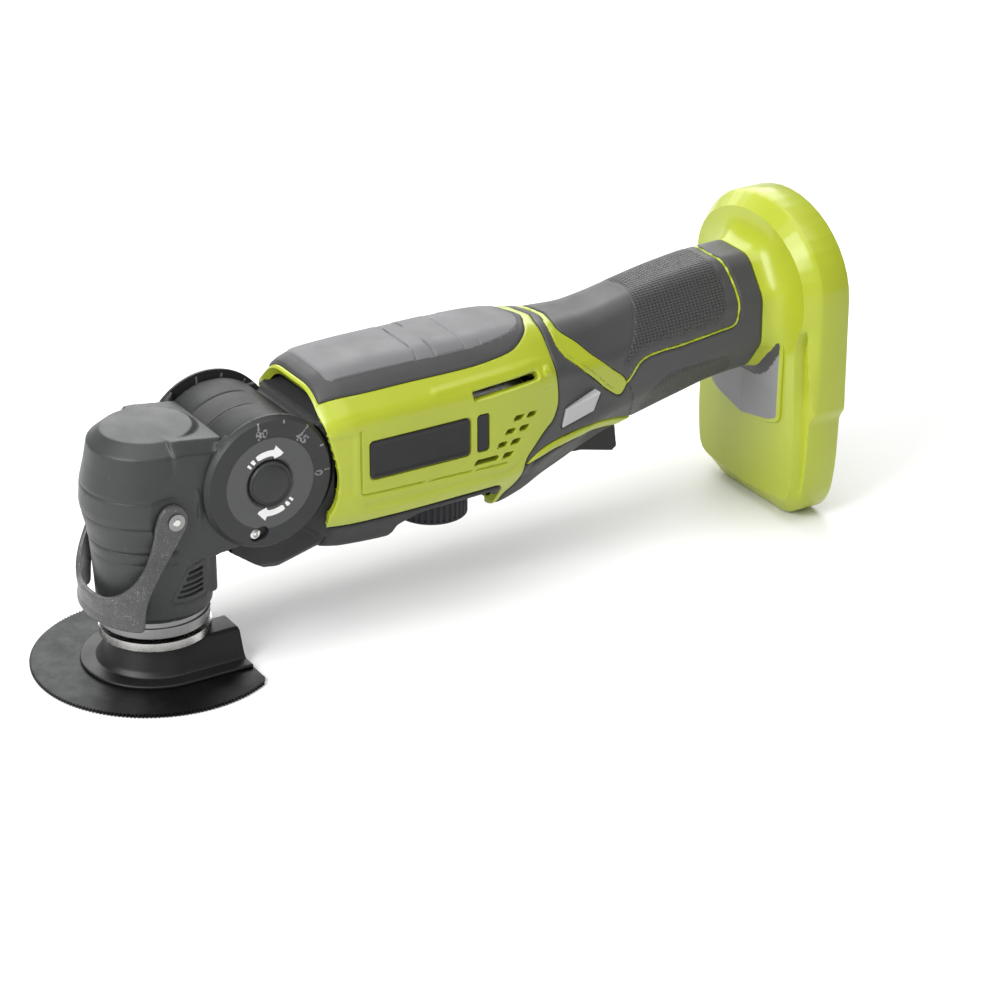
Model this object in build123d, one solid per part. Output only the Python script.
from build123d import *
import math
import os

# Cordless oscillating multi-tool with a tilting head, millimetres.
# Frame: origin on the spindle axis at the underside of the blade, +Z up along the spindle,
# +X to the rear (towards the battery foot), -Y is the tool's left side.
# The tool stands on its blade and on the bottom edge of the battery foot.

# ---- driving dimensions -------------------------------------------------------------------
BLADE_R = 44.0              # half-moon saw blade, 88 mm across
BLADE_T = 1.2
BLADE_CHORD_X = 24.3
TOOTH_COUNT = 200           # teeth a full circle would have
TOOTH_DEPTH = 0.9

HUB_TOP = 12.2              # top of the blade's dished carrier, which seats on the flange
FLANGE_R = 19.6
FLANGE_TOP = 15.2
COLLAR_R = 19.3             # bright ring under the head
COLLAR_BOTTOM = 16.4
HEAD_BOTTOM = 22.6
SPINDLE_R = 8.0
ROD_R = 4.0                 # clamp rod inside the spindle
RUNNING = 0.05              # radial clearance of a running fit

PIVOT_X = 34.0              # tilt axis of the head, along Y
PIVOT_Z = 68.3
BARREL_R = 22.3
BARREL_HALF = 19.2
CHEEK_R = 24.3
EAR_IN = 19.6               # the head's ears, each side of the barrel
EAR_OUT = 21.6
CHEEK_OUT = 24.4
BUTTON_R = 8.0
TRUNNION_R = 11.0

LEVER_X = -1.5              # clamp lever pivot, just ahead of the spindle axis
LEVER_Z = 62.3
ARM_IN = 22.2
ARM_OUT = 23.8
LEVER_SWEEP = 23.0          # within this radius of its pivot the lever is only its two flat arms

HOUSING_FRONT = 60.0        # front edge of the green clamshell
BODY_TOP = 98.0
BODY_BOTTOM = 31.0
BODY_HALF = 28.0
WALL = 2.8
SKIN = 1.6                  # soft overmould thickness

FOOT_FRONT = 253.0          # battery foot flange
FOOT_BACK = 265.5
FOOT_HALF = 38.5
FOOT_TOP = 121.5
FOOT_SHOULDER = 90.0        # where the arched top starts
APRON_TOP = 78.5            # the soft shield on the foot's front reaches up to here

HANDLE_END = 240.0          # rear end of the handle's soft skin
WELL_X = 204.0              # blind end of the battery stem's well
WELL_Z = 80.0

MOTOR_R = 18.0
MOTOR_FRONT = 92.0
MOTOR_BACK = 140.0

PINION_TEETH = 13
CROSS_TEETH = 24
PINION_PITCH_R = 6.5
CROSS_PITCH_R = 12.0
FACE_WIDTH = 4.5
ECCENTRICITY = 0.36

DIAL_X = 111.0
DIAL_R = 13.0
DIAL_BOTTOM = 28.9
DIAL_TOP = 38.4

BADGE = (71.0, 110.6, 61.8, 75.8)       # x and z limits of the side plates

PARTS = {}


def keep(name, shape):
    """Remember a finished piece under its node name."""
    PARTS[name] = shape


# ---- small shape helpers ------------------------------------------------------------------
def cyl_z(r, z0, z1, x=0.0, y=0.0):
    return Pos(x, y, (z0 + z1) / 2) * Cylinder(r, z1 - z0)


def cyl_y(r, y0, y1, x=0.0, z=0.0):
    return Pos(x, (y0 + y1) / 2, z) * Rot(90, 0, 0) * Cylinder(r, y1 - y0)


def cyl_x(r, x0, x1, y=0.0, z=0.0):
    return Pos((x0 + x1) / 2, y, z) * Rot(0, 90, 0) * Cylinder(r, x1 - x0)


def block(x0, x1, y0, y1, z0, z1):
    return Pos((x0 + x1) / 2, (y0 + y1) / 2, (z0 + z1) / 2) * Box(x1 - x0, y1 - y0, z1 - z0)


def side_prism(points, y0, y1):
    """Prism across the tool: an (x, z) outline drawn from the side, from y0 to y1."""
    face = make_face(Polyline([(x, 0, z) for x, z in points], close=True))
    return Pos(0, y1, 0) * extrude(face, amount=y1 - y0, dir=(0, -1, 0))


def plan_prism(points, z0, z1):
    """Prism along Z from an (x, y) outline."""
    face = make_face(Polyline([(x, y, z0) for x, y in points], close=True))
    return extrude(face, amount=z1 - z0, dir=(0, 0, 1))


def turned_z(points):
    """Solid of revolution about the spindle axis from (r, z) points."""
    face = make_face(Polyline([(r, 0, z) for r, z in points], close=True))
    return revolve(face, Axis.Z, 360)


def mirrored(shape):
    """The same piece on the other side of the tool."""
    return mirror(shape, Plane.XZ)


def left_half(shape):
    return shape & block(-100, 300, -60, -0.0, -20, 140)


def right_half(shape):
    return shape & block(-100, 300, 0.0, 60, -20, 140)


def solid_of(shape):
    """The biggest solid of a result, which drops slivers left by a cut."""
    solids = shape.solids()
    return max(solids, key=lambda s: s.volume)


# ---- the body's outer form ----------------------------------------------------------------
# Stations along X: (x, top, bottom, half width, squareness). Squareness 1 is the motor housing
# with its tall flat sides and well rounded roof, 0 is the slimmer handle.
STATIONS = [
    (HOUSING_FRONT - 4, BODY_TOP - 4.0, BODY_BOTTOM + 3.0, BODY_HALF - 2.0, 1.0),
    (HOUSING_FRONT + 4, BODY_TOP - 0.4, BODY_BOTTOM + 1.0, BODY_HALF - 0.4, 1.0),
    (84.0, BODY_TOP + 0.4, BODY_BOTTOM, BODY_HALF, 1.0),
    (112.0, BODY_TOP + 0.4, BODY_BOTTOM + 0.5, BODY_HALF, 1.0),
    (128.0, BODY_TOP, BODY_BOTTOM + 1.2, BODY_HALF - 0.2, 1.0),
    (138.0, BODY_TOP - 0.5, BODY_BOTTOM + 3.4, 27.2, 0.9),
    (148.0, BODY_TOP - 1.6, BODY_BOTTOM + 7.4, 25.8, 0.7),
    (158.0, 95.0, 41.5, 23.8, 0.5),
    (168.0, 94.8, 44.8, 21.9, 0.3),
    (180.0, 96.4, 48.0, 20.4, 0.1),
    (195.0, 99.6, 51.2, 19.5, 0.0),
    (210.0, 102.2, 54.4, 19.2, 0.0),
    (225.0, 103.7, 57.4, 19.2, 0.0),
    (240.0, 103.9, 58.6, 20.0, 0.0),
    (254.0, 103.8, 58.0, 21.6, 0.0),
]


def body_section(x, top, bottom, half, squareness, inset=0.0):
    """Eight-sided section with rounded corners, drawn in the YZ plane at x."""
    top -= inset
    bottom += inset
    half -= inset
    height = top - bottom
    side_top = top - height * (0.30 - 0.10 * squareness)
    side_bottom = bottom + height * (0.30 - 0.04 * squareness)
    roof = half * (0.50 + 0.02 * squareness)
    floor = half * (0.50 + 0.04 * squareness)
    corners = [(floor, bottom), (half, side_bottom), (half, side_top), (roof, top)]
    corners += [(-y, z) for y, z in reversed(corners)]
    with BuildSketch(Plane.YZ.offset(x)) as sketch:
        with BuildLine():
            Polyline(corners, close=True)
        make_face()
        others = [v for v in sketch.vertices() if v.Z < top - 0.01]
        fillet(others, radius=max(2.0, 7.0 - inset))
        shoulders = [v for v in sketch.vertices() if v.Z > top - 0.01]
        fillet(shoulders, radius=max(2.0, 7.0 + 11.0 * squareness - inset))
    return sketch.sketch.face()


def body_form(inset=0.0, first=0, last=None):
    sections = [body_section(*station, inset=inset) for station in STATIONS[first:last]]
    return loft(sections, ruled=True)


# Side outlines (x, z) of the moulded zones.
GRIP_OUTLINE = [(50, 90.6), (72, 91.5), (116, 91.5), (128, 92.3), (136, 93.4), (149, 91), (149, 112), (50, 112)]
GRIP_END = [(125, 30), (131, 22), (134.5, 18.7), (139, 15.7), (142.6, 11.9), (145.4, 7.0), (148.3, 0)]
BELLY_OUTLINE = [(HOUSING_FRONT, 45), (122, 45.4), (125.6, 43.5), (125.9, 39.9), (123.4, 39.9), (122, 42.4),
                 (92.2, 41.9), (86, 36.5), (84, 20), (HOUSING_FRONT, 20)]
DIAL_BAY = [(84, 20), (89.5, 36), (93.5, DIAL_TOP + 0.6), (124.8, DIAL_TOP + 0.6), (126.6, 20)]
HANDLE_FRONT = [(152.2, 112), (152.2, 96.2), (149.4, 95.6), (148.2, 90), (148.0, 83), (148.7, 75.6), (148.3, 70.6),
                (146.1, 65.9), (142.4, 62.8), (137.8, 58), (133.9, 53), (132.5, 44), (131, 36), (130, 20),
                (262, 20), (262, 112)]


def grip_zone():
    """The palm grip's zone, with its rounded rear end seen from above."""
    plan = [(50, 30)] + GRIP_END + [(x, -y) for x, y in reversed(GRIP_END[:-1])] + [(50, -30)]
    return side_prism(GRIP_OUTLINE, -40, 40) & plan_prism(plan, 80, 120)


def band_outline():
    """The handle zone behind the motor housing, where the soft overmould starts."""
    return side_prism(HANDLE_FRONT, -40, 40)


# ---- green clamshell and its overmoulds ---------------------------------------------------
def foot_outline(inset, x0, x1):
    """Arched battery foot, drawn in the YZ plane and extruded from x0 to x1."""
    half = FOOT_HALF - inset
    top = FOOT_TOP - inset
    low = inset
    arch = [(half * math.cos(math.radians(a)),
             FOOT_SHOULDER + (top - FOOT_SHOULDER) * math.sin(math.radians(a)))
            for a in range(0, 181, 15)]
    with BuildSketch(Plane.YZ.offset(x0)) as sketch:
        with BuildLine():
            Spline(arch, tangents=[(0, 1), (0, -1)])
            side = [(half, FOOT_SHOULDER), (half, 47), (half - 2.8, 42), (half - 3.8, 24),
                    (half - 6.2, low + 11.0), (half - 10.6, low + 4.0), (half - 17.5, low)]
            Polyline([(-y, z) for y, z in side] + side[::-1])
        make_face()
    return extrude(sketch.sketch, amount=x1 - x0)


def fairing():
    """Flare that blends the top and sides of the handle into the foot."""
    station = STATIONS[-2]
    return loft([body_section(*station, inset=0.1),
                 body_section(FOOT_FRONT - 3.4, *station[1:], inset=-8.5)], ruled=True)


def foot_shell():
    """Foot flange, its raised front panel and the recess that takes the battery's face."""
    flange = foot_outline(0.0, FOOT_FRONT, FOOT_BACK)
    panel = foot_outline(6.0, FOOT_FRONT - 3.5, FOOT_FRONT + 1)
    recess = foot_outline(3.0, FOOT_FRONT + 2.5, FOOT_BACK + 1)
    return flange + panel + fairing() - recess - block(230, FOOT_FRONT - 3.5, -40, 40, 20, APRON_TOP)


def stem_well():
    """The rounded well in the handle that takes the battery's stem."""
    with BuildSketch(Plane.YZ.offset(WELL_X)) as sketch:
        with Locations((0, WELL_Z)):
            RectangleRounded(27, 33, 9)
    return extrude(sketch.sketch, amount=60)


def housing_solid():
    """Both clamshell halves as one form: outer skin zones cut away, hollow inside."""
    outer = body_form() & block(HOUSING_FRONT, 254, -60, 60, 0, 140)
    handle_core = body_form(SKIN)
    handle_zone = band_outline() & block(120, HANDLE_END, -60, 60, 0, 140)
    belly_zone = side_prism(BELLY_OUTLINE, -40, 40)
    shell = outer - (handle_zone - handle_core)
    shell = shell - (grip_zone() - body_form(2.2))
    shell = shell - (belly_zone - body_form(2.0))
    inner = body_form(2.2 + WALL) & block(50, WELL_X - 2.5, -60, 60, 0, 140)
    shell = shell - (inner - block(82, 129, -60, 60, 0, DIAL_TOP + 2.8)) - side_prism(DIAL_BAY, -40, 40)
    shell = shell + foot_shell() + (screw_bosses() & body_form(2.4))
    return shell - stem_well() - screw_holes()


SCREW_PLACES = [(72.0, 41.5), (72.0, 91.5), (148.5, 50.0), (148.5, 87.0), (192.0, 85.0)]
SCREW_SEAT = 14.0           # the screws go in from the right side


def screw_bosses():
    bosses = [cyl_y(3.6, -30, 30, x, z) for x, z in SCREW_PLACES]
    ribs = block(154.0, 161.5, 6.4, 9.2, 43, 51)
    return bosses[0] + bosses[1:] + ribs + mirrored(ribs)


def screw_holes():
    holes = [cyl_y(1.5, -15, SCREW_SEAT + 1, x, z) + cyl_y(3.0, SCREW_SEAT, 40, x, z) for x, z in SCREW_PLACES]
    return holes[0] + holes[1:]


def vent_cuts():
    """Cooling openings through the left wall; mirrored for the right wall."""
    cuts = side_prism([(112.8, 81.4), (140.3, 83.3), (139.8, 86.5), (112.2, 85.0)], -40, -15)
    for row in range(4):
        for column in range(2):
            x = 128.4 - 3.4 * row + 5.6 * column
            z = 70.0 - 4.4 * row
            front = 112.3 if (row, column) == (3, 0) else x
            hole = side_prism([(front, z), (x + 3.8, z), (x + 5.0, z + 1.9), (front + 1.2, z + 1.9)], -40, -20)
            cuts = cuts + hole
    return cuts


def bored_housing():
    """The clamshell with every opening that a control or a screw needs."""
    shell = housing_solid()
    vents = vent_cuts()
    shell = shell - vents - mirrored(vents)
    shell = shell - cyl_z(3.4, 30, 45, DIAL_X)
    shell = shell - block(153.5, 187.5, -6.4, 6.4, 30, 58)
    shell = shell - cyl_y(1.6 + RUNNING, -8.6, 8.6, 157.6, 46.2)
    shell = shell - side_prism(button_outline(0.35), -40, 40)
    return shell


def build_clamshell():
    shell = bored_housing()
    tray = block(BADGE[0] - 0.6, BADGE[1] + 0.6, -28.4, -27.0, BADGE[2] - 0.6, BADGE[3] + 0.6)
    keep("housing_left", solid_of(left_half(shell) - tray))
    keep("housing_right", solid_of(right_half(shell) - mirrored(tray)))


def build_overmoulds():
    outer = body_form()
    grip = (outer & grip_zone()) - body_form(2.2) - screw_holes()
    keep("top_grip", solid_of(grip))
    belly = (outer & side_prism(BELLY_OUTLINE, -40, 40)) - body_form(2.0)
    belly = belly - side_prism(DIAL_BAY, -40, 40) - screw_holes()
    keep("belly_bumper_left", solid_of(left_half(belly)))
    keep("belly_bumper_right", solid_of(right_half(belly)))
    skin = (outer & band_outline()) - body_form(SKIN)
    skin = skin & block(120, HANDLE_END, -60, 60, 0, 140)
    skin = skin - block(153.0, 188, -6.8, 6.8, 30, 56)
    skin = skin - side_prism(button_outline(0.35), -40, 40) - screw_holes()
    keep("handle_grip_left", solid_of(left_half(skin)))
    keep("handle_grip_right", solid_of(right_half(skin)))


def build_trim():
    badge = block(BADGE[0], BADGE[1], -28.35, -27.0, BADGE[2], BADGE[3])
    keep("badge_plate_left", badge)
    keep("badge_plate_right", mirrored(badge))
    outline = [(-21.5, APRON_TOP), (-21.5, 37.5), (0, 31.0), (21.5, 37.5), (21.5, APRON_TOP)]
    face = make_face(Polyline([(FOOT_FRONT - 3.5, y, z) for y, z in outline], close=True))
    shield = extrude(face, amount=3.2, dir=(-1, 0, 0))
    keep("foot_apron", solid_of(shield - body_form() - stem_well()))


# ---- controls -----------------------------------------------------------------------------
def button_outline(grow=0.0):
    """Slanted lock-off button seen from the side."""
    return [(150.0 - grow, 61.7 - grow), (163.2 + grow, 65.4 - grow), (166.2 + grow, 72.2 + grow),
            (151.8 - grow, 68.4 + grow)]


def build_controls():
    bolt = side_prism(button_outline(), -26.0, 26.0)
    keep("lock_off_button", bolt)
    blade = side_prism([(155.5, 45.0), (155.5, 41.0), (171, 40.0), (184.5, 36.6), (186.5, 38.0),
                        (185.5, 47.5), (160, 50.5)], -5.6, 5.6)
    pin = cyl_y(1.6, -8.4, 8.4, 157.6, 46.2)
    keep("trigger", blade + pin)
    keep("trigger_spring", coil_z(2.4, 0.45, 48.9, 55.5, 176.0, 0.0, 4))
    knob = cyl_z(DIAL_R, DIAL_BOTTOM, DIAL_TOP, DIAL_X)
    for step in range(36):
        angle = math.radians(10 * step)
        x = DIAL_X + DIAL_R * math.cos(angle)
        y = DIAL_R * math.sin(angle)
        knob = knob - cyl_z(0.55, DIAL_BOTTOM + 0.8, DIAL_TOP + 0.5, x, y)
    keep("speed_dial", knob + cyl_z(3.0, DIAL_TOP, 45.0, DIAL_X))
    pot = block(DIAL_X - 6, DIAL_X + 6, -6, 6, 41.4, 46.8) - cyl_z(3.0 + RUNNING, 30, 50, DIAL_X)
    keep("dial_potentiometer", pot)


def coil_z(radius, wire, z0, z1, x, y, turns):
    """Compression spring standing on Z."""
    path = Helix(pitch=(z1 - z0 - 2 * wire) / turns, height=z1 - z0 - 2 * wire, radius=radius)
    section = Plane(origin=path @ 0, z_dir=path % 0) * Circle(wire)
    return Pos(x, y, z0 + wire) * sweep(section, path=path)


# ---- electrics and motor ------------------------------------------------------------------
def build_electrics():
    keep("control_board", block(92, 133, -11, 11, 46.9, 48.4))
    switch = block(172, 199, -7.5, 7.5, 57.5, 76) + block(174, 178, -3, 3, 55.6, 57.5)
    keep("switch_module", switch)
    carrier = stem_well() & block(WELL_X, WELL_X + 5.2, -12.6, 12.6, WELL_Z - 15, WELL_Z + 15)
    keep("terminal_block", carrier)
    blades = [block(WELL_X + 5.2, WELL_X + 20, y - 0.5, y + 0.5, 74, 88) for y in (-8.0, 0.0, 8.0)]
    keep("battery_terminals", Compound(children=blades))


def build_motor():
    can = cyl_x(MOTOR_R, MOTOR_FRONT, MOTOR_BACK, 0, PIVOT_Z)
    can = can - cyl_x(MOTOR_R - 1.6, MOTOR_FRONT + 1.6, MOTOR_BACK - 6, 0, PIVOT_Z)
    can = can - cyl_x(6.5 + RUNNING, MOTOR_FRONT - 1, MOTOR_FRONT + 3, 0, PIVOT_Z)
    can = can - cyl_x(6.0, MOTOR_BACK - 8, MOTOR_BACK + 1, 0, PIVOT_Z)
    keep("motor_can", can)
    ring = cyl_x(MOTOR_R - 1.65, 99, 127, 0, PIVOT_Z) - cyl_x(13.0, 98, 131, 0, PIVOT_Z)
    keep("motor_magnets", ring - block(98, 131, -2, 2, PIVOT_Z - 20, PIVOT_Z + 20))
    rotor = cyl_x(2.5, 55.0, 147, 0, PIVOT_Z)
    core = cyl_x(12.6, 100, 126, 0, PIVOT_Z)
    for step in range(5):
        slot = Pos(0, 0, PIVOT_Z) * Rot(72 * step, 0, 0) * block(99, 127, -1.2, 1.2, 8.5, 14)
        core = core - slot
    keep("rotor_shaft", rotor + core)
    keep("commutator", cyl_x(5.2, 127.5, 134, 0, PIVOT_Z) - cyl_x(2.5, 127, 135, 0, PIVOT_Z))
    fan = cyl_x(14.5, 86.0, 87.2, 0, PIVOT_Z) + cyl_x(4.5, 86.0, 90.5, 0, PIVOT_Z)
    for step in range(9):
        fan = fan + Pos(0, 0, PIVOT_Z) * Rot(40 * step, 0, 0) * block(87.0, 90.5, -0.6, 0.6, 4.2, 14.2)
    keep("cooling_fan", fan - cyl_x(2.5, 80, 95, 0, PIVOT_Z))
    races = [cyl_x(6.5, x, x + 4, 0, PIVOT_Z) - cyl_x(2.5 + RUNNING, x - 1, x + 5, 0, PIVOT_Z)
             for x in (MOTOR_FRONT, 141.0)]
    keep("motor_bearings", Compound(children=races))
    brush = block(128.5, 133, -2.2, 2.2, PIVOT_Z + 5.5, PIVOT_Z + 13)
    keep("carbon_brushes", Compound(children=[brush, Pos(0, 0, 2 * PIVOT_Z) * Rot(180, 0, 0) * brush]))
    plate = cyl_x(20.0, 141.0, 145.0, 0, PIVOT_Z) - cyl_x(6.5, 140, 146, 0, PIVOT_Z)
    keep("motor_end_plate", plate)


# ---- bevel drive --------------------------------------------------------------------------
def bevel_gear(teeth, pitch_r, other_r, tooth_reach, phase=0.0):
    """Bevel gear about +Z with its cone apex at the origin and its heel at z = other_r.

    tooth_reach is how far the tooth tips stand past the pitch cone at the heel.
    """
    toe = 1.0 - FACE_WIDTH / math.hypot(pitch_r, other_r)
    root = 1.1
    tilt = math.atan2(other_r, pitch_r)
    heel_r = pitch_r - root * math.sin(tilt)
    heel_z = other_r + root * math.cos(tilt)
    blank = [(0, heel_z * toe), (heel_r * toe, heel_z * toe), (heel_r, heel_z), (heel_r, heel_z + 1.5),
             (0, heel_z + 1.5)]
    gear = turned_z(blank)
    reach = root + tooth_reach
    width = math.pi * pitch_r / teeth * 0.34
    sections = []
    for scale in (toe, 1.0):
        base = Vector((heel_r - 0.25 * math.sin(tilt)) * scale, 0, (heel_z + 0.25 * math.cos(tilt)) * scale)
        plane = Plane(origin=base, x_dir=(math.sin(tilt), 0, -math.cos(tilt)),
                      z_dir=(math.cos(tilt), 0, math.sin(tilt)))
        grow = (reach + 0.25) * scale
        half = width * scale
        with BuildSketch(plane) as tooth:
            with BuildLine():
                Polyline([(0, -half * 1.3), (grow, -half * 0.55), (grow, half * 0.55), (0, half * 1.3)],
                         close=True)
            make_face()
        sections.append(tooth.sketch.face())
    tooth = loft(sections, ruled=True)
    for step in range(teeth):
        gear = gear + Rot(0, 0, 360.0 * (step + phase) / teeth) * tooth
    return gear


def at_pivot(shape, rotation):
    return Pos(PIVOT_X, 0, PIVOT_Z) * rotation * shape


def build_bevel_drive():
    pinion = bevel_gear(PINION_TEETH, PINION_PITCH_R, CROSS_PITCH_R, 0.32)
    cross = bevel_gear(CROSS_TEETH, CROSS_PITCH_R, PINION_PITCH_R, 0.32, 0.5)
    head = bevel_gear(PINION_TEETH, PINION_PITCH_R, CROSS_PITCH_R, -0.8)
    motor_pinion = at_pivot(pinion, Rot(0, 90, 0)) - cyl_x(2.5, 30, 90, 0, PIVOT_Z)
    shank = cyl_x(4.0, PIVOT_X + 14.0, 56, 0, PIVOT_Z) - cyl_x(2.5, 30, 90, 0, PIVOT_Z)
    keep("motor_pinion", motor_pinion + shank)
    gear = at_pivot(cross, Rot(-90, 0, 0)) + cyl_y(4.0, 8.5, 15.4, PIVOT_X, PIVOT_Z)
    keep("cross_gear", gear)
    race = cyl_y(7.0, 11.8, 15.5, PIVOT_X, PIVOT_Z) - cyl_y(4.0 + RUNNING, 11, 18, PIVOT_X, PIVOT_Z)
    keep("cross_bearing", race)
    head_pinion = at_pivot(head, Rot(0, -90, 0)) - cyl_x(2.8, -30, 40, 0, PIVOT_Z)
    keep("head_pinion", head_pinion)


# ---- neck ---------------------------------------------------------------------------------
def wedge(a0, a1, r, y0, y1):
    """Sector about the tilt axis between two angles (degrees from +X towards +Z)."""
    steps = 12
    points = [(PIVOT_X, PIVOT_Z)]
    for i in range(steps + 1):
        angle = math.radians(a0 + (a1 - a0) * i / steps)
        points.append((PIVOT_X + r * math.cos(angle), PIVOT_Z + r * math.sin(angle)))
    return side_prism(points, y0, y1)


def neck_section(x, top, bottom, half):
    with BuildSketch(Plane.YZ.offset(x)) as sketch:
        with Locations((0, (top + bottom) / 2)):
            RectangleRounded(2 * half, top - bottom, min(half, (top - bottom) / 2) * 0.45)
    return sketch.sketch.face()


def build_neck():
    barrel = cyl_y(BARREL_R, -BARREL_HALF, BARREL_HALF, PIVOT_X, PIVOT_Z)
    flare = loft([neck_section(38.0, 88.0, 48.0, 17.5), neck_section(HOUSING_FRONT - 0.2, 92.0, 36.0, 23.0)])
    chin = side_prism([(24, 48), (21.5, 42), (35.5, 31.5), (41, 30.8), (59.8, 35.5), (59.8, 55), (30, 55)],
                      -17.5, 17.5)
    chin = chamfer(chin.edges().filter_by(lambda e: e.center().Z < 44 and abs(abs(e.center().Y) - 17.5) < 0.1
                                          and e.center().X > 30), 3.0)
    tube = cyl_x(19.5, 58, 90.4, 0, PIVOT_Z)
    sweep_clear = cyl_y(CHEEK_R + 0.7, -60, -BARREL_HALF, PIVOT_X, PIVOT_Z)
    sweep_clear = sweep_clear + mirrored(sweep_clear)
    shroud_clear = wedge(38, 262, 60, -40, 40) & (cyl_y(60, -40, 40, PIVOT_X, PIVOT_Z)
                                                  - cyl_y(BARREL_R, -41, 41, PIVOT_X, PIVOT_Z))
    chin_clear = wedge(200, 262, CHEEK_R + 0.7, -40, 40)
    head_clear = block(30, 56.2, -40, 40, 84.2, 120)
    neck = flare + tube - shroud_clear - head_clear
    neck = neck + (chin - chin_clear) + barrel - sweep_clear
    trunnion = cyl_y(TRUNNION_R, BARREL_HALF - 1, EAR_OUT - 0.1, PIVOT_X, PIVOT_Z)
    neck = neck + trunnion + mirrored(trunnion)
    pocket = cyl_y(BUTTON_R + 0.4, 18.8, 30, PIVOT_X, PIVOT_Z) + cyl_y(4.6, 16.6, 20, PIVOT_X, PIVOT_Z)
    neck = neck - pocket - mirrored(pocket)
    neck = neck - cyl_y(18.6, -9.5, 11.8, PIVOT_X, PIVOT_Z)
    neck = neck - cyl_y(7.0, 11, 15.6, PIVOT_X, PIVOT_Z)
    neck = neck - cyl_x(9.6, PIVOT_X, 61, 0, PIVOT_Z) - cyl_x(12.0, 60, 66, 0, PIVOT_Z)
    neck = neck - cyl_x(16.0, 64.8, 92, 0, PIVOT_Z)
    slot = wedge(74, 194, 40, -5.6, 5.6) - cyl_y(10, -10, 10, PIVOT_X, PIVOT_Z)
    keep("neck_casting", solid_of(neck - slot))
    seal = (wedge(74, 194, 40, -5.6, 5.6) & (cyl_y(BARREL_R - 0.2, -6, 6, PIVOT_X, PIVOT_Z)
                                             - cyl_y(BARREL_R - 1.8, -7, 7, PIVOT_X, PIVOT_Z)))
    seal = seal - cyl_x(4.4, -10, 30, 0, PIVOT_Z)
    keep("slot_seal", solid_of(seal))
    bearing = cyl_x(12.0, 60.0, 64.8, 0, PIVOT_Z)
    keep("pinion_bearing", bearing - cyl_x(2.5 + RUNNING, 59, 66, 0, PIVOT_Z))


# ---- head ---------------------------------------------------------------------------------
HEAD_PROFILE = [(0, HEAD_BOTTOM), (19.4, HEAD_BOTTOM), (20.4, 24.0), (20.8, 33), (21.6, 45), (22.2, 53),
                (23.4, 58), (24.0, 63), (23.5, 70), (21.6, 78), (20.4, 84.6), (15.5, 88.6), (0, 89.4)]


def head_outside():
    pot = turned_z(HEAD_PROFILE)
    bridge = side_prism([(0, 46), (12, 44.6), (30, 47), (34, 60), (34, 84), (17.5, 86.6), (4, 88.6), (0, 88.9)],
                        -EAR_OUT, EAR_OUT)
    bridge = bridge & cyl_y(60, -60, 60, PIVOT_X, PIVOT_Z)
    edges = bridge.edges().filter_by(lambda e: e.center().Z > 86 and abs(e.center().Y) > EAR_OUT - 0.1)
    bridge = chamfer(edges, 4.0)
    ear = cyl_y(CHEEK_R, EAR_IN, EAR_OUT, PIVOT_X, PIVOT_Z)
    rear = block(0, 18.6, -14.5, 14.5, 27.5, 47)
    rear = fillet(rear.edges().filter_by(Axis.Z).filter_by(lambda e: e.center().X > 10), 3.0)
    return pot + bridge + ear + mirrored(ear) + rear


def head_inside():
    cavity = turned_z([(0, 29.0), (17.0, 29.0), (17.0, 36), (18.2, 48), (19.6, 58), (19.8, 63), (19.6, 72),
                       (18.0, 80), (14.0, 85.5), (0, 86.2)])
    return cavity - cyl_z(20, 34, 46.6) + cyl_z(13.0, 38, 46.0) + cyl_z(9.4, 34, 48) + cyl_z(16, 29, 34)


def build_head():
    barrel_room = cyl_y(BARREL_R + 0.4, -EAR_IN, EAR_IN, PIVOT_X, PIVOT_Z)
    head = head_outside() - barrel_room - head_inside()
    nose = cyl_x(7.2, 6, 11.2, 0, PIVOT_Z)
    head = head + (nose & head_outside()) - barrel_room
    head = head - block(20, 60, -60, 60, 84.7, 120)
    head = head - cyl_x(5.0, 5, 20, 0, PIVOT_Z)
    head = head - cyl_y(TRUNNION_R + RUNNING, -40, 40, PIVOT_X, PIVOT_Z)
    head = head - cyl_z(17.0, 20, 29.1) - cyl_z(SPINDLE_R + 1.5, 20, 60)
    head = head - cyl_y(2.2, -40, 40, LEVER_X, LEVER_Z)
    pinch = block(LEVER_X - 10, LEVER_X + 9, ARM_IN - 0.7, ARM_OUT + 1, 44, 78)
    chin_room = wedge(255, 330, 40, -EAR_IN, EAR_IN)
    head = head - pinch - mirrored(pinch) - chin_room
    for x, z in cover_screw_places():
        head = head - cyl_y(0.9, -EAR_OUT - 1, EAR_OUT + 1, x, z)
    head = solid_of(head)
    keep("head_housing", head)


def cover_screw_places():
    """The one screw that stops each cheek cover turning, low beside the tilt axis."""
    angle = math.radians(-108)
    return [(PIVOT_X + 19.2 * math.cos(angle), PIVOT_Z + 19.2 * math.sin(angle))]


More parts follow.
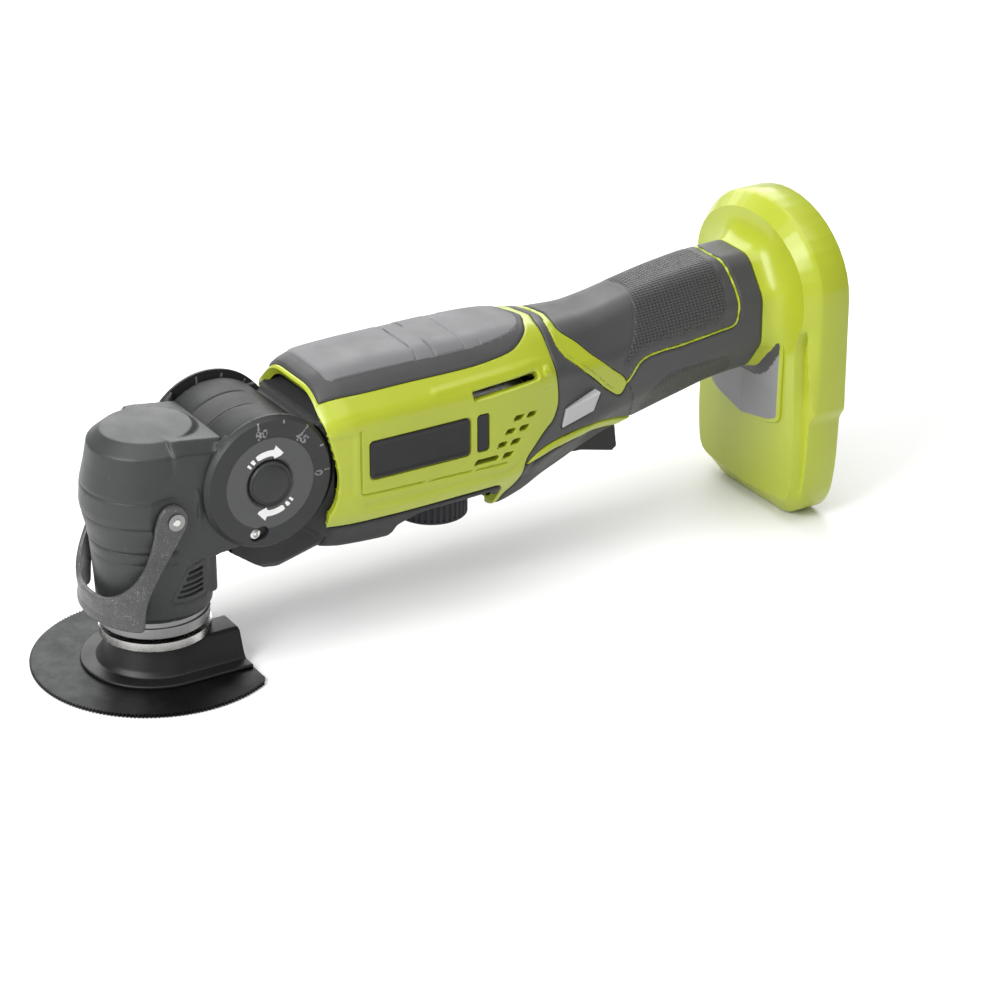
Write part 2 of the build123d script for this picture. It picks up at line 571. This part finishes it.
def build_cheeks():
    profile = [(TRUNNION_R - 1.6, EAR_OUT), (CHEEK_R, EAR_OUT), (CHEEK_R, 22.6), (CHEEK_R - 1.2, CHEEK_OUT - 0.3),
               (CHEEK_R - 1.8, CHEEK_OUT), (9.6, CHEEK_OUT), (9.2, CHEEK_OUT + 0.0), (8.2, CHEEK_OUT - 0.4),
               (8.2, EAR_OUT + 1.0), (TRUNNION_R - 1.6, EAR_OUT + 1.0)]
    face = make_face(Polyline([(r, h, 0) for r, h in profile], close=True))
    cover = Pos(PIVOT_X, 0, PIVOT_Z) * revolve(face, Axis.Y, 360)
    screws = []
    for x, z in cover_screw_places():
        cover = cover - cyl_y(1.2, 20, 30, x, z) - cyl_y(2.1, CHEEK_OUT - 1.2, 30, x, z)
        head = cyl_y(1.9, CHEEK_OUT - 1.1, CHEEK_OUT - 0.1, x, z)
        shank = cyl_y(0.88, EAR_IN + 0.3, CHEEK_OUT - 1.1, x, z)
        socket = Pos(x, CHEEK_OUT - 0.1, z) * Box(0.9, 1.2, 0.9)
        screws.append(head + shank - socket)
    keep("cheek_cover_right", cover)
    keep("cheek_cover_left", mirrored(cover))
    screws += [mirrored(screw) for screw in screws]
    keep("cover_screws", Compound(children=screws))
    button = cyl_y(BUTTON_R, 22.8, 26.0, PIVOT_X, PIVOT_Z)
    button = fillet(button.edges().filter_by(GeomType.CIRCLE).sort_by(Axis.Y)[-1], 0.9)
    button = button - cyl_y(4.2, 22.0, 24.6, PIVOT_X, PIVOT_Z)
    keep("pivot_button_right", button)
    keep("pivot_button_left", mirrored(button))
    spring = Pos(PIVOT_X, 0, PIVOT_Z) * Rot(-90, 0, 0) * coil_z(3.3, 0.4, 16.8, 24.4, 0, 0, 5)
    keep("button_spring_right", spring)
    keep("button_spring_left", mirrored(spring))


def build_head_drive():
    shaft = cyl_x(2.8, -9.6, 25.0, 0, PIVOT_Z)
    journal = cyl_x(2.5, -16.0, -9.6, ECCENTRICITY, PIVOT_Z)
    weight = (cyl_x(5.9, -8.6, -4.6, 0, PIVOT_Z) - block(-9, -4, 1.5, 12, 50, 90)) + cyl_x(4, -8.6, -4.6, 0, PIVOT_Z)
    weight = weight - cyl_x(2.8, -10, 0, 0, PIVOT_Z)
    keep("input_shaft", shaft + journal)
    keep("counterweight", weight)
    race = cyl_x(5.0, -15.6, -10.6, ECCENTRICITY, PIVOT_Z) - cyl_x(2.5, -16, -10, ECCENTRICITY, PIVOT_Z)
    keep("eccentric_bearing", race)
    race = cyl_x(5.0, 6.2, 11.0, 0, PIVOT_Z) - cyl_x(2.8 + RUNNING, 5, 12, 0, PIVOT_Z)
    keep("input_bearing", race)


def build_spindle():
    spindle = cyl_z(FLANGE_R, HUB_TOP, FLANGE_TOP) + cyl_z(SPINDLE_R, FLANGE_TOP, 62)
    spindle = spindle - cyl_z(ROD_R + RUNNING, 0, 58) - cyl_z(6.4, 24, 47)
    spindle = spindle - block(-2.7, 2.7, -10, 10, 47.2, 56.2)
    for step in range(8):
        angle = math.radians(45 * step + 22.5)
        pin = cyl_z(1.2, HUB_TOP - 1.3, HUB_TOP + 0.2, 12.5 * math.cos(angle), 12.5 * math.sin(angle))
        spindle = spindle + pin
    keep("spindle", spindle)
    fork = cyl_z(10.4, 57.2, 61.8) - cyl_z(SPINDLE_R, 57, 62)
    arm = block(-17.5, -7.0, -9.4, 9.4, 57.2, 61.8) - cyl_z(10.0, 57, 62)
    tines = block(-15.4, -10.8, -9.4, -5.9, 57.2, 74.0)
    fork = fork + arm + tines + mirrored(tines)
    fork = fork & turned_z([(0, 50), (19.1, 50), (19.1, 76), (0, 76)])
    keep("oscillating_fork", fork)
    low = cyl_z(17.0, 21.0, 29.0) - cyl_z(SPINDLE_R, 20, 30)
    keep("lower_spindle_bearing", low - cyl_z(SPINDLE_R + RUNNING, 20, 30))
    high = cyl_z(13.0, 38.0, 46.0) - cyl_z(SPINDLE_R + RUNNING, 37, 47)
    keep("upper_spindle_bearing", high)
    collar = turned_z([(SPINDLE_R + 0.8, COLLAR_BOTTOM), (COLLAR_R - 0.6, COLLAR_BOTTOM),
                       (COLLAR_R, COLLAR_BOTTOM + 0.6), (COLLAR_R, 20.6), (COLLAR_R - 1.0, 21.0),
                       (SPINDLE_R + 0.8, 21.0)])
    lip = turned_z([(17.2, 20.9), (18.8, 20.9), (18.8, HEAD_BOTTOM), (17.2, HEAD_BOTTOM)])
    keep("bearing_collar", collar + lip)


def build_clamp():
    rod = cyl_z(9.0, 6.6, 10.6) + cyl_z(ROD_R, 10.6, 54.5)
    rod = fillet(rod.edges().filter_by(GeomType.CIRCLE).sort_by(Axis.Z)[0], 1.0)
    rod = rod + cyl_z(6.3, 44.0, 46.2) - cyl_y(2.0, -20, 20, 0, 52.6)
    keep("clamp_rod", rod)
    keep("clamp_cross_pin", cyl_y(2.0, -12.5, 12.5, 0, 52.6))
    ring = cyl_z(14.6, 50.4, 55.4) - cyl_z(SPINDLE_R + 0.3, 50, 60) - cyl_y(2.0, -12.5, 12.5, 0, 52.6)
    keep("clamp_collar", ring)
    keep("clamp_spring", coil_z(5.2, 0.6, 24.4, 43.8, 0, 0, 6))
    arm_points = [(-6.6, -1.5), (-6.0, 3.5), (-2.5, 6.3), (2.5, 6.3), (5.8, 3.5), (6.6, -1.0), (4.0, -7.0),
                  (-6.5, -26.0), (-12.0, -26.0), (-12.0, -10.0)]
    arm_points = [(LEVER_X + x, LEVER_Z + z) for x, z in arm_points]
    apron = turned_z([(22.7, 23.2), (24.6, 23.6), (25.0, 30), (25.0, 60), (22.7, 60)])
    window = side_prism([(-40, 33.5), (-22, 33.5), (-9.5, 60), (40, 60), (40, 70), (-40, 70)], -40, 40)
    behind = block(-9.5, 60, -40, 40, 0, 80) + side_prism([(-9.5, 31), (4, 54), (10, 60), (10, 20), (-9.5, 20)],
                                                          -40, 40)
    apron = apron - window - behind - cyl_y(LEVER_SWEEP, -ARM_IN, ARM_IN, LEVER_X, LEVER_Z)
    arms = side_prism(arm_points, ARM_IN, ARM_OUT)
    lever = apron + arms + mirrored(arms)
    lever = lever - cyl_y(2.2 - RUNNING, -40, 40, LEVER_X, LEVER_Z)
    keep("clamp_lever", solid_of(lever))
    pin = cyl_y(2.15, 11.6, ARM_OUT, LEVER_X, LEVER_Z) + cyl_y(3.0, ARM_OUT, ARM_OUT + 0.6, LEVER_X, LEVER_Z)
    cam = cyl_y(3.6, 11.6, 14.8, LEVER_X + 1.4, LEVER_Z)
    keep("lever_pins", Compound(children=[pin + cam, mirrored(pin + cam)]))


# ---- blade --------------------------------------------------------------------------------
def build_blade():
    points = []
    half_angle = math.degrees(math.acos(BLADE_CHORD_X / BLADE_R))
    first = math.ceil(half_angle / 360 * TOOTH_COUNT)
    for step in range(first, TOOTH_COUNT - first):
        tip = math.radians(360.0 * step / TOOTH_COUNT)
        gullet = math.radians(360.0 * (step + 0.55) / TOOTH_COUNT)
        points.append((BLADE_R * math.cos(tip), BLADE_R * math.sin(tip)))
        inner = BLADE_R - TOOTH_DEPTH
        points.append((inner * math.cos(gullet), inner * math.sin(gullet)))
    chord_half = math.sqrt((BLADE_R - 1.5) ** 2 - BLADE_CHORD_X ** 2)
    points += [(BLADE_CHORD_X, -chord_half), (BLADE_CHORD_X, chord_half)]
    disc = plan_prism(points, 0, BLADE_T)
    slot = cyl_z(14.0, -1, 3) + block(0, 60, -14, 14, -1, 3)
    keep("blade_disc", disc - slot)
    profile = [(0, 11.0), (14.4, 11.0), (15.6, 10.4), (18.4, 3.6), (20.0, BLADE_T), (26.5, BLADE_T),
               (26.5, BLADE_T + 1.2), (20.9, BLADE_T + 1.2), (19.6, 4.2), (16.9, 11.3), (15.2, HUB_TOP), (0, HUB_TOP)]
    front = turned_z(profile) & block(-60, 0, -60, 60, -1, 20)
    face = make_face(Polyline([(0, y, z) for y, z in profile], close=True))
    half = extrude(face, amount=BLADE_CHORD_X, dir=(1, 0, 0))
    hub = front + half + mirrored(half)
    hub = hub - cyl_z(5.2, 5, 14) - block(0, 60, -5.2, 5.2, 5, 14)
    for step in range(8):
        angle = math.radians(45 * step + 22.5)
        hub = hub - cyl_z(1.35, 5, 14, 12.5 * math.cos(angle), 12.5 * math.sin(angle))
    keep("blade_hub", hub)


def build_screws():
    screws = []
    for x, z in SCREW_PLACES:
        shank = cyl_y(1.4, -14, SCREW_SEAT, x, z)
        head = cyl_y(2.7, SCREW_SEAT, SCREW_SEAT + 2.2, x, z)
        socket = Pos(x, SCREW_SEAT + 2.2, z) * Box(1.5, 2.0, 1.5)
        screws.append(shank + head - socket)
    keep("housing_screws", Compound(children=screws))


build_clamshell()
build_overmoulds()
build_trim()
build_controls()
build_electrics()
build_motor()
build_bevel_drive()
build_neck()
build_head()
build_cheeks()
build_head_drive()
build_spindle()
build_clamp()
build_blade()
build_screws()

os.makedirs("parts", exist_ok=True)
for name, shape in PARTS.items():
    export_step(shape, f"parts/{name}.step")
